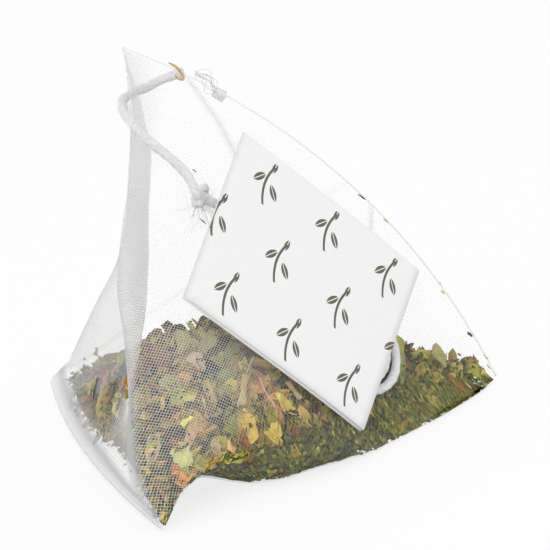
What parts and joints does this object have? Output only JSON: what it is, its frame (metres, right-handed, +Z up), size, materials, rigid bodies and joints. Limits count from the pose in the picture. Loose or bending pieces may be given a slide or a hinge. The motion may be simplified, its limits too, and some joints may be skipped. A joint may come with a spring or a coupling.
{
  "type": "pyramid tea bag",
  "caption": "Pyramid tea bag: sheer four-cornered woven pouch with crossed welded seams, loose leaf filling, knotted string and a folded blank tag",
  "frame": {"origin": "on the floor, under the middle of the bounding box", "axes": "+Z up; the upper seam runs from high at -X down to the right tip at +X; the tag is on the face towards -Y and +X"},
  "size_m": [0.0551, 0.0589, 0.0463],
  "materials": {
    "sheer_film": "sheer white woven monofilament, heat welded",
    "fine_leaf": "finely cut dry green leaf",
    "thread": "soft twisted cotton, slightly fuzzy",
    "card": "thin folded card, unprinted",
    "brown_leaf": "dry cut leaf",
    "dark_leaf": "dry cut leaf",
    "khaki_leaf": "dry cut leaf",
    "olive_leaf": "dry cut leaf",
    "orange_leaf": "dry cut leaf",
    "pale_leaf": "dry cut leaf",
    "red_leaf": "dry cut leaf",
    "tan_leaf": "dry cut leaf"
  },
  "bodies": {
    "root": {"fine_filling": "fine_leaf", "knot": "thread", "leaf_brown_back_d": "brown_leaf", "leaf_brown_left": "brown_leaf", "leaf_brown_mid_h": "brown_leaf", "leaf_brown_right": "brown_leaf", "leaf_brown_top_c": "brown_leaf", "leaf_dark_low_k": "dark_leaf", "leaf_khaki_back_c": "khaki_leaf", "leaf_khaki_left": "khaki_leaf", "leaf_khaki_mid_g": "khaki_leaf", "leaf_khaki_right": "khaki_leaf", "leaf_khaki_top_a": "khaki_leaf", "leaf_khaki_top_b": "khaki_leaf", "leaf_olive_back_a": "olive_leaf", "leaf_olive_long": "olive_leaf", "leaf_olive_mid_f": "olive_leaf", "leaf_olive_mid_i": "olive_leaf", "leaf_olive_top_d": "olive_leaf", "leaf_orange_left": "orange_leaf", "leaf_pale_left": "pale_leaf", "leaf_pale_round": "pale_leaf", "leaf_red_right": "red_leaf", "leaf_rust_low": "orange_leaf", "leaf_tan_back_b": "tan_leaf", "leaf_tan_curled": "tan_leaf", "leaf_tan_low_j": "tan_leaf", "leaf_tan_mid_e": "tan_leaf", "pouch": "sheer_film", "stalk_dark_left": "dark_leaf", "stalk_tan_long": "tan_leaf", "stalk_tan_short": "tan_leaf", "string": "thread", "string_hank": "thread", "string_lead": "thread", "string_tail": "thread", "tag": "card"}
  },
  "joints": []
}
